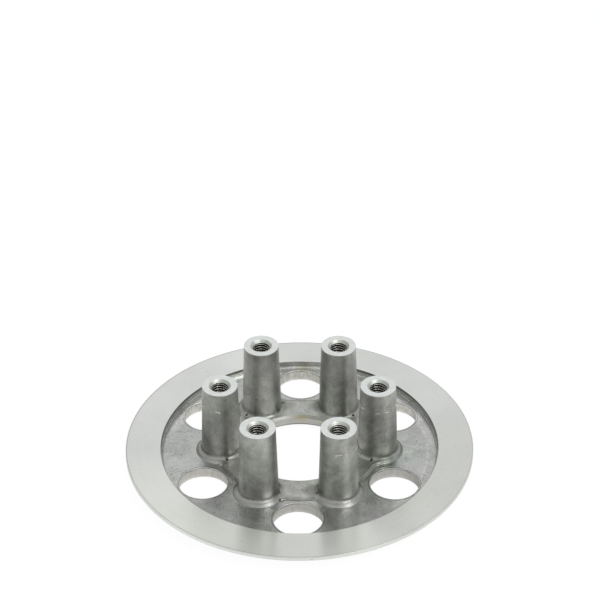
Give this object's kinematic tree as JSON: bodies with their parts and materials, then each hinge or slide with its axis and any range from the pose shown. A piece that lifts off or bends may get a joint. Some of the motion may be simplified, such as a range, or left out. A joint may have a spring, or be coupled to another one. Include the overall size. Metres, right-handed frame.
{
  "type": "clutch pressure plate",
  "caption": "Round die-cast clutch pressure plate: machined friction ring, dished web with round windows, and a ring of drilled posts with wire thread inserts.",
  "frame": {"origin": "on the clutch's axis, in the plane of the three ejector pads that the plate stands on", "axes": "+Z along the clutch's axis, from the back of the plate towards the post tips; +X through the centre of one post"},
  "size_m": [0.118, 0.118, 0.0313],
  "materials": {
    "cast_aluminium": "as-cast grey skin, with the friction ring and post tips machined bright",
    "insert_steel": "bright drawn stainless wire"
  },
  "bodies": {
    "root": {"pressure_plate_casting": "cast_aluminium", "tip_thread_insert_1": "insert_steel", "tip_thread_insert_2": "insert_steel", "tip_thread_insert_3": "insert_steel", "tip_thread_insert_4": "insert_steel", "tip_thread_insert_5": "insert_steel", "tip_thread_insert_6": "insert_steel", "back_thread_insert_1": "insert_steel", "back_thread_insert_2": "insert_steel", "back_thread_insert_3": "insert_steel", "back_thread_insert_4": "insert_steel", "back_thread_insert_5": "insert_steel", "back_thread_insert_6": "insert_steel"}
  },
  "joints": []
}
